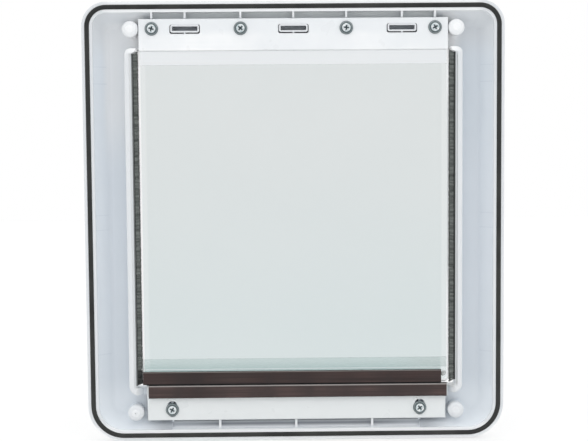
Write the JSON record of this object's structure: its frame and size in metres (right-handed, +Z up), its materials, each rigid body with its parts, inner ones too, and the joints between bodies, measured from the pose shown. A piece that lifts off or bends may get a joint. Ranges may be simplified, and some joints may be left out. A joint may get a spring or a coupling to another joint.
{
  "type": "dog door",
  "caption": "Flap-carrying half of a dog door: tray-like moulded frame with a gasketed rim, a clear swinging flap, side brushes, a screwed head bar and a height-adjustable magnetic sill.",
  "frame": {"origin": "middle of the four corner bosses, on the plane of the rim that lies against the door", "axes": "+Z up, +Y from the door into the room, +X to the right as seen from the door side"},
  "size_m": [0.339, 0.0171, 0.3557],
  "materials": {
    "white_moulding": "satin moulded white",
    "white_bar": "smooth white",
    "black_rubber": "matt extruded",
    "brush_backing": "matt woven strip",
    "brush_pile": "dense fibre pile",
    "clear_sheet": "clear, slightly green",
    "milky_strip": "milky",
    "magnet_strip": "dull brown",
    "zinc_screw": "bright zinc plate"
  },
  "bodies": {
    "frame": {"frame": "white_moulding", "rim_gasket": "black_rubber", "left_brush_base": "brush_backing", "left_brush_pile": "brush_pile", "right_brush_base": "brush_backing", "right_brush_pile": "brush_pile", "hinge_strip": "clear_sheet", "head_bar": "white_bar", "head_screw_1": "zinc_screw", "head_screw_2": "zinc_screw", "head_screw_3": "zinc_screw", "head_screw_4": "zinc_screw", "sill_screw_left": "zinc_screw", "sill_screw_right": "zinc_screw"},
    "flap": {"flap_sheet": "clear_sheet", "flap_head_band": "milky_strip", "magnet_carrier": "clear_sheet", "flap_magnet": "magnet_strip"},
    "sill": {"sill_bar": "white_bar", "sill_magnet": "magnet_strip"}
  },
  "joints": [
    {"name": "flap_swing", "type": "hinge", "parent": "frame", "child": "flap", "pos_m": [0, 0.005, 0.13685], "axis": [1, 0, 0], "range_deg": [-80, 80]},
    {"name": "sill_adjust", "type": "slide", "parent": "frame", "child": "sill", "axis": [0, 0, 1], "range_m": [-0.004, 0.0005]}
  ]
}
